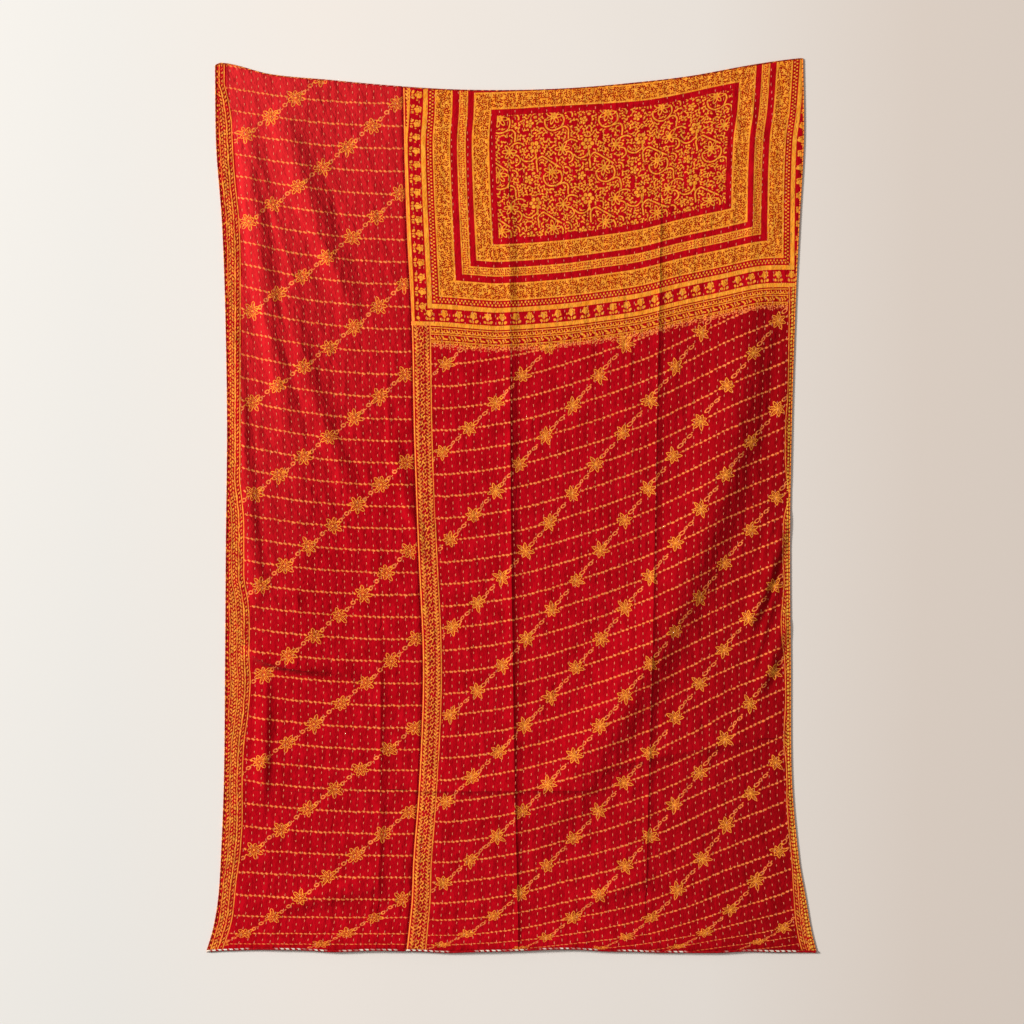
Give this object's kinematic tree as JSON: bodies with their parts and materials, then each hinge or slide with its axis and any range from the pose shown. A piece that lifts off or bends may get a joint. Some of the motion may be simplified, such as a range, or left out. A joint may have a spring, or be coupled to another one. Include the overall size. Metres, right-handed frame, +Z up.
{
  "type": "kantha quilt",
  "caption": "Twin-size hand-stitched quilt of two printed cloth panels, laid out flat with its soft folds.",
  "frame": {"origin": "middle of the quilt's footprint, on the surface it lies on", "axes": "+X across the quilt to its right edge, +Y along it from the foot hem to the top hem, +Z up out of its printed face"},
  "size_m": [1.57, 2.3001, 0.0223],
  "materials": {
    "left_print": "red printed cotton, quilted, matt",
    "right_print": "red printed cotton with a mustard pallu print, quilted, matt",
    "stitch_thread": "pale cotton thread, matt",
    "backing_cloth": "plain cream cotton, matt"
  },
  "bodies": {
    "root": {"left_panel": "left_print", "right_panel": "right_print"}
  },
  "joints": []
}
